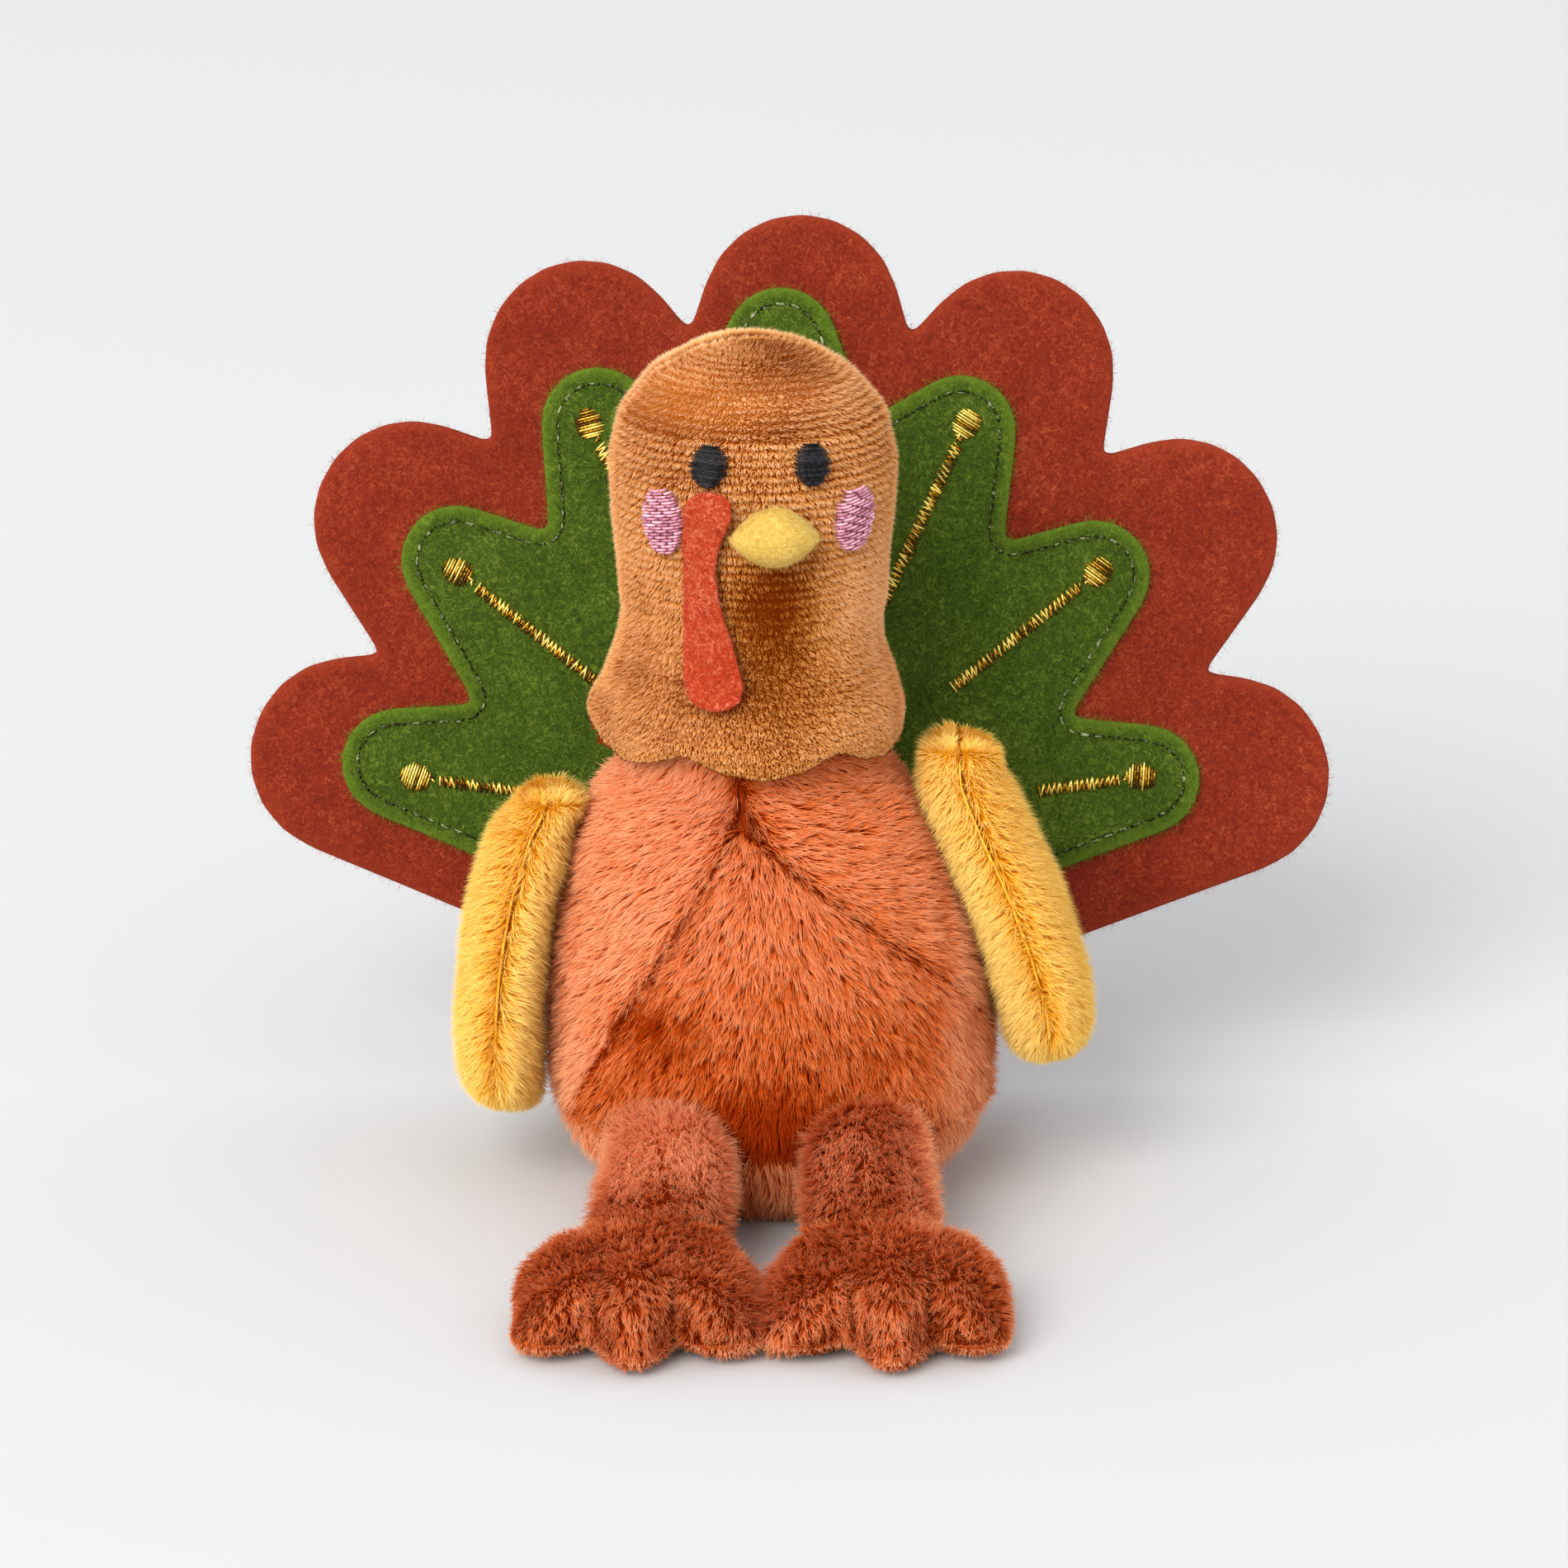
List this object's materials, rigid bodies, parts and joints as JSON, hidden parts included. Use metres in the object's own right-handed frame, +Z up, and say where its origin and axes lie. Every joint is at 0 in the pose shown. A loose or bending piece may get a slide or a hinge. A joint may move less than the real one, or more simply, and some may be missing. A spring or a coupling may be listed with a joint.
{
  "type": "plush turkey decoration",
  "caption": "Small stuffed turkey that sits on a shelf, with a pear-shaped body, hanging wings, toed feet and a stitched felt tail fan.",
  "frame": {"origin": "centre of the flat base, on the surface it stands on", "axes": "+Z up, -Y the way the face looks, +X to the right as seen from the front"},
  "size_m": [0.1819, 0.1498, 0.1472],
  "materials": {
    "coral_plush": "long soft pile, matte",
    "caramel_plush": "short dense pile, matte with a faint sheen",
    "yellow_plush": "long silky pile, matte",
    "brown_plush": "short curly pile, matte",
    "rust_felt": "pressed felt, matte",
    "green_felt": "pressed felt, matte",
    "yellow_felt": "pressed felt, matte",
    "orange_felt": "pressed felt, matte",
    "black_satin": "satin stitch, low sheen",
    "pink_satin": "satin stitch, low sheen",
    "gold_thread": "metallic thread, glittering",
    "green_thread": "twisted thread, low sheen",
    "interlining": "plain non-woven, matte",
    "fibre_filling": "loose fibre, matte",
    "bag_cloth": "plain weave, matte",
    "plastic_pellets": "smooth, dull"
  },
  "bodies": {
    "body": {"body_belly_panel": "coral_plush", "body_left_panel": "coral_plush", "body_right_panel": "coral_plush", "body_base_panel": "coral_plush", "body_stuffing": "fibre_filling", "pellet_bag": "bag_cloth", "pellet_fill": "plastic_pellets", "tail_green_applique": "green_felt", "tail_rust_front": "rust_felt", "tail_interlining": "interlining", "tail_rust_back": "rust_felt", "tail_stitch_thread": "green_thread", "tail_gold_embroidery_1": "gold_thread", "tail_gold_embroidery_2": "gold_thread", "tail_gold_embroidery_3": "gold_thread", "tail_gold_embroidery_4": "gold_thread", "tail_gold_embroidery_5": "gold_thread", "tail_gold_embroidery_6": "gold_thread", "tail_gold_embroidery_7": "gold_thread"},
    "head": {"head_front_panel": "caramel_plush", "head_back_panel": "caramel_plush", "head_stuffing": "fibre_filling", "eye_left": "black_satin", "eye_right": "black_satin", "cheek_left": "pink_satin", "cheek_right": "pink_satin", "beak_upper": "yellow_felt", "beak_lower": "yellow_felt", "beak_stuffing": "fibre_filling"},
    "snood": {"snood": "orange_felt"},
    "wing_left": {"wing_left_outer_panel": "yellow_plush", "wing_left_inner_panel": "yellow_plush", "wing_left_stuffing": "fibre_filling"},
    "wing_right": {"wing_right_outer_panel": "yellow_plush", "wing_right_inner_panel": "yellow_plush", "wing_right_stuffing": "fibre_filling"},
    "leg_left": {"leg_left_upper_panel": "brown_plush", "leg_left_sole_panel": "brown_plush", "leg_left_stuffing": "fibre_filling"},
    "leg_right": {"leg_right_upper_panel": "brown_plush", "leg_right_sole_panel": "brown_plush", "leg_right_stuffing": "fibre_filling"}
  },
  "joints": [
    {"name": "head_nod", "type": "hinge", "parent": "body", "child": "head", "pos_m": [-0.003, 0, 0.077], "axis": [1, 0, 0], "range_deg": [-8, 8], "stiffness_Nm_per_rad": 0.08},
    {"name": "snood_flap", "type": "hinge", "parent": "head", "child": "snood", "pos_m": [-0.0092, -0.0226, 0.1211], "axis": [-1, 0, 0], "range_deg": [0, 75]},
    {"name": "wing_left_flap", "type": "hinge", "parent": "body", "child": "wing_left", "pos_m": [-0.0271, -0.003, 0.0668], "axis": [0, 1, 0], "range_deg": [0, 60]},
    {"name": "wing_right_flap", "type": "hinge", "parent": "body", "child": "wing_right", "pos_m": [0.023, -0.003, 0.0754], "axis": [0, -1, 0], "range_deg": [0, 60]},
    {"name": "leg_left_swing", "type": "hinge", "parent": "body", "child": "leg_left", "pos_m": [-0.0161, -0.0332, 0.0245], "axis": [-1, 0, 0], "range_deg": [0, 50]},
    {"name": "leg_right_swing", "type": "hinge", "parent": "body", "child": "leg_right", "pos_m": [0.015, -0.0337, 0.0245], "axis": [-1, 0, 0], "range_deg": [0, 50]}
  ]
}
